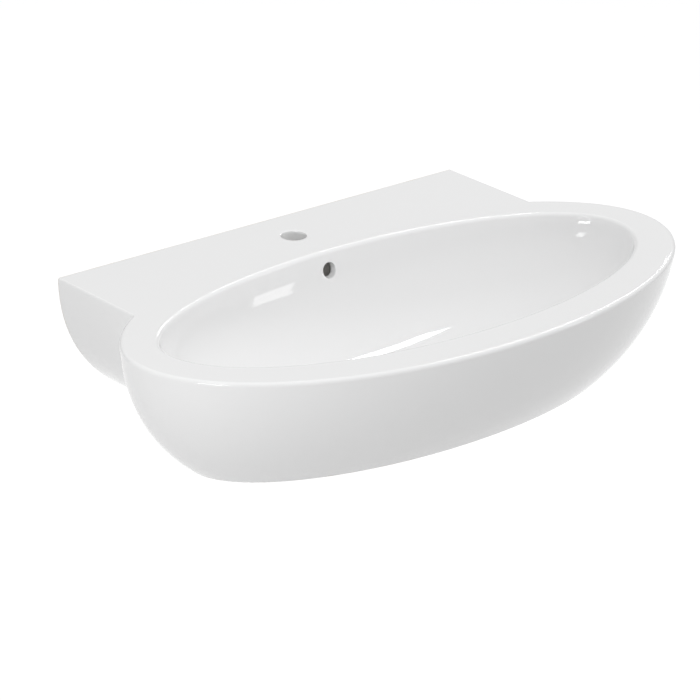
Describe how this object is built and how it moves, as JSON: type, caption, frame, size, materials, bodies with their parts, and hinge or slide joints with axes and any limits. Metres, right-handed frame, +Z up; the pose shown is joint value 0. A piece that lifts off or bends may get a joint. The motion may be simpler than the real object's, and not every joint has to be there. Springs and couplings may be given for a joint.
{
  "type": "wall-hung basin",
  "caption": "Oval wall-hung washbasin with a tap shelf, an overflow, a push-open waste and its wall fixings.",
  "frame": {"origin": "midway between the two wall fixings, in the plane of the wall, 75 mm below the rim", "axes": "+Z up, +Y into the wall, +X to the right seen from the room"},
  "size_m": [0.8494, 0.6065, 0.204],
  "materials": {
    "white_glaze": "white glazed vitreous china, glossy",
    "chrome": "polished chrome plate on brass",
    "brass": "turned brass",
    "zinc_steel": "zinc-plated steel",
    "spring_steel": "stainless spring steel",
    "black_rubber": "matt black rubber",
    "grey_nylon": "grey nylon",
    "white_nylon": "white nylon"
  },
  "bodies": {
    "basin": {"basin_body": "white_glaze", "waste_body": "chrome", "flange_gasket": "black_rubber", "under_gasket": "black_rubber", "slip_washer": "white_nylon", "back_nut": "brass", "cartridge_barrel": "brass", "retaining_ring": "spring_steel", "plunger_spring": "spring_steel", "hanger_bolt_left": "zinc_steel", "wall_plug_left": "grey_nylon", "fixing_sleeve_left": "white_nylon", "fixing_washer_left": "zinc_steel", "fixing_nut_left": "zinc_steel", "hanger_bolt_right": "zinc_steel", "wall_plug_right": "grey_nylon", "fixing_sleeve_right": "white_nylon", "fixing_washer_right": "zinc_steel", "fixing_nut_right": "zinc_steel"},
    "plug": {"plug_cap": "chrome", "plug_seal": "black_rubber", "plunger": "brass"}
  },
  "joints": [
    {"name": "plug_slide", "type": "slide", "parent": "basin", "child": "plug", "axis": [0, 0, 1], "range_m": [-0.009, 0], "stiffness_N_per_m": 555, "springref_m": 0.0054, "deforming": ["plunger_spring"]}
  ]
}
